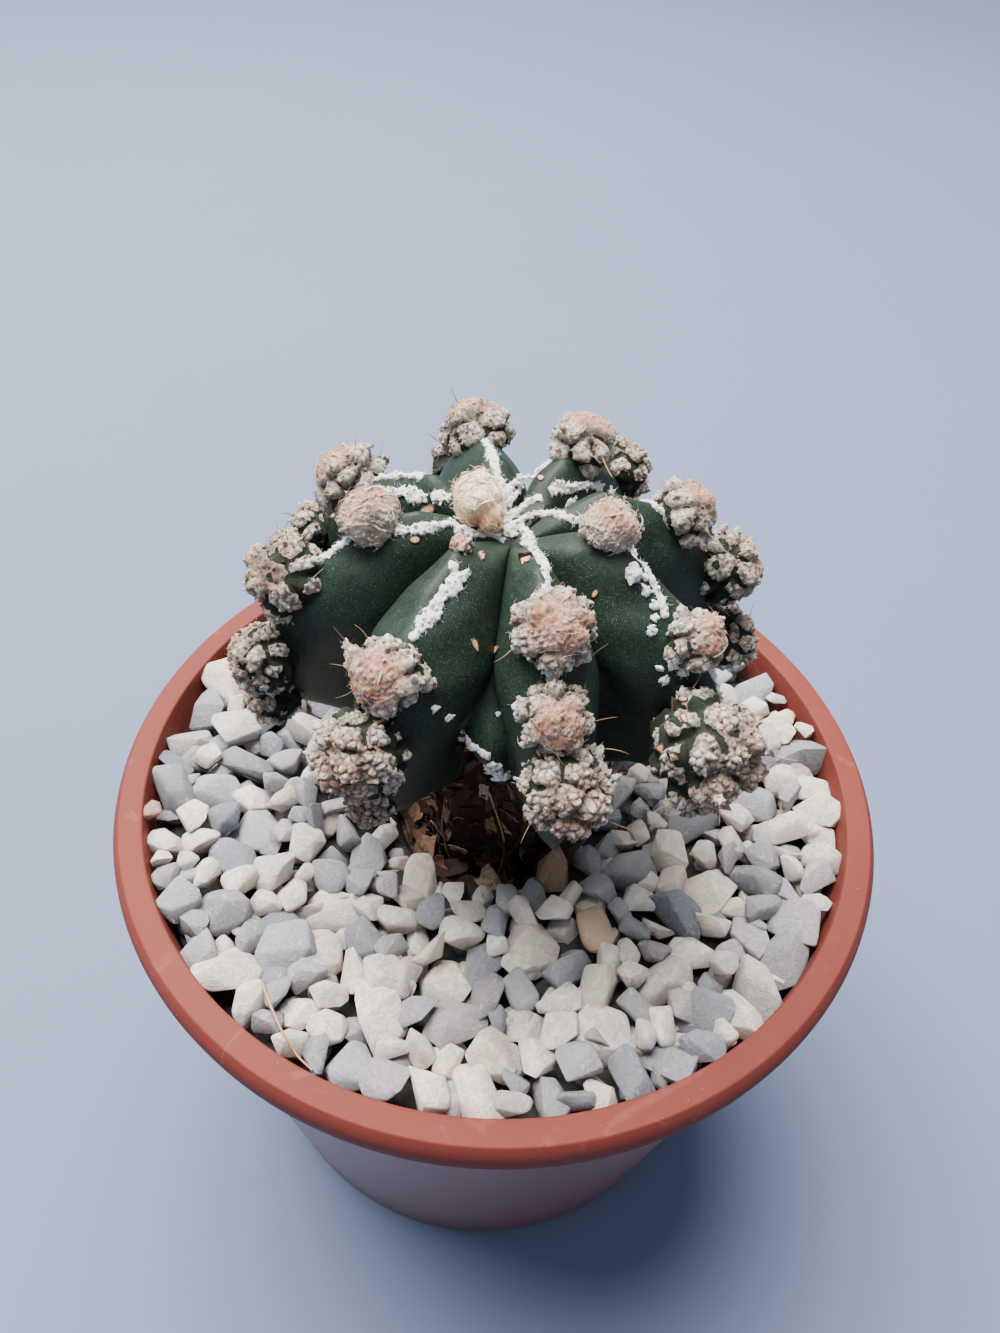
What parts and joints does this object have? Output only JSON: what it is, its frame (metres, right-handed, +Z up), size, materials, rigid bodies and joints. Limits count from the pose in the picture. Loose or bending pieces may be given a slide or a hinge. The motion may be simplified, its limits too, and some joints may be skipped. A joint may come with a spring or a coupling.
{
  "type": "potted bishops cap cactus",
  "caption": "Round ribbed cactus with woolly heads and white felt lines on its ribs, in a round tapered plastic pot topped with pale gravel.",
  "frame": {"origin": "under the middle of the pot's base, on the surface it stands on", "axes": "+Z up along the pot's axis; -Y is the plant's front in the picture, +X its right"},
  "size_m": [0.1, 0.1, 0.1196],
  "materials": {
    "pot_plastic": "satin moulded terracotta-coloured plastic, dusty",
    "soil": "dark crumbly potting mix",
    "gravel": "dry crushed limestone, cream, white and blue-grey",
    "cactus_skin": "dark green waxy skin with fine pale flecks",
    "head_wool": "matted pinkish-beige plant wool",
    "crest_felt": "white fibrous felt",
    "crown_wool": "cream silky plant wool"
  },
  "bodies": {
    "root": {"pot": "pot_plastic", "soil": "soil", "gravel": "gravel", "cactus_body": "cactus_skin", "crown_wool": "crown_wool", "wool_1_1": "head_wool", "wool_1_2": "head_wool", "wool_1_3": "head_wool", "wool_1_4": "head_wool", "wool_2_1": "head_wool", "wool_2_2": "head_wool", "wool_2_3": "head_wool", "wool_3_1": "head_wool", "wool_3_2": "head_wool", "wool_3_3": "head_wool", "wool_3_4": "head_wool", "wool_4_1": "head_wool", "wool_4_2": "head_wool", "wool_4_3": "head_wool", "wool_5_1": "head_wool", "wool_5_2": "head_wool", "wool_5_3": "head_wool", "wool_6_1": "head_wool", "wool_6_2": "head_wool", "wool_6_3": "head_wool", "wool_7_1": "head_wool", "wool_7_2": "head_wool", "wool_7_3": "head_wool", "wool_8_1": "head_wool", "wool_8_2": "head_wool", "wool_8_3": "head_wool", "wool_8_4": "head_wool", "felt_1_1": "crest_felt", "felt_1_2": "crest_felt", "felt_2_1": "crest_felt", "felt_3_1": "crest_felt", "felt_3_2": "crest_felt", "felt_4_1": "crest_felt", "felt_5_1": "crest_felt", "felt_6_1": "crest_felt", "felt_7_1": "crest_felt"}
  },
  "joints": []
}
